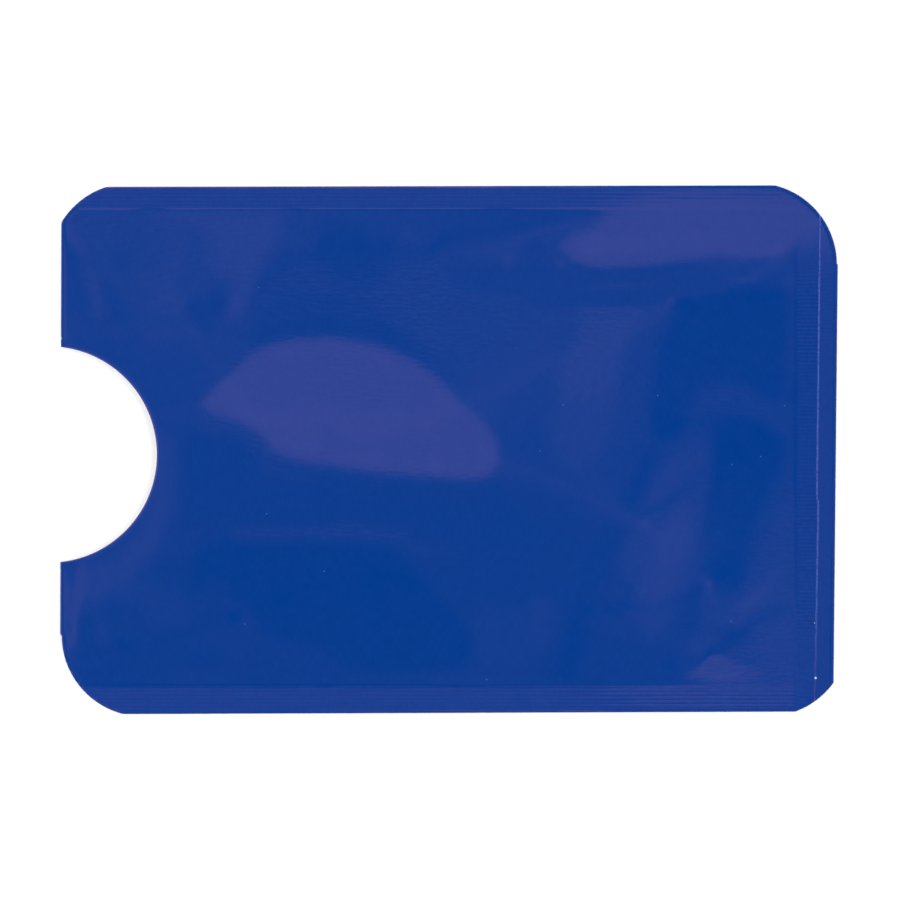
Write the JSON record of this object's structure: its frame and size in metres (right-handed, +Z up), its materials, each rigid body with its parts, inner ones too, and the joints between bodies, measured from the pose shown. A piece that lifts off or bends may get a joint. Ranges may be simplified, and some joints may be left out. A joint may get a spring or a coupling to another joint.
{
  "type": "rfid card sleeve",
  "caption": "Flat heat-sealed sleeve of glossy blue laminate with a foil shield ply, a card pocket open at one end and a thumb notch at its mouth.",
  "frame": {"origin": "centre of the sleeve's outline, on the flat outer face of the back panel", "axes": "+X from the mouth to the closed end, +Y across the sleeve, +Z up through the front panel"},
  "size_m": [0.091, 0.0618, 0.0015],
  "materials": {
    "gloss_film": "high gloss film over a blue print, lightly mottled",
    "paper_core": "uncoated white core",
    "foil_shield": "bright rolled foil",
    "seal_film": "thin clear film over foil, satin",
    "fused_film": "melted and set film, milky"
  },
  "bodies": {
    "root": {"front_gloss_film": "gloss_film", "front_paper_core": "paper_core", "front_foil_shield": "foil_shield", "front_seal_film": "seal_film", "back_gloss_film": "gloss_film", "back_paper_core": "paper_core", "back_foil_shield": "foil_shield", "back_seal_film": "seal_film", "upper_side_seal": "fused_film", "lower_side_seal": "fused_film", "end_seal": "fused_film"}
  },
  "joints": []
}
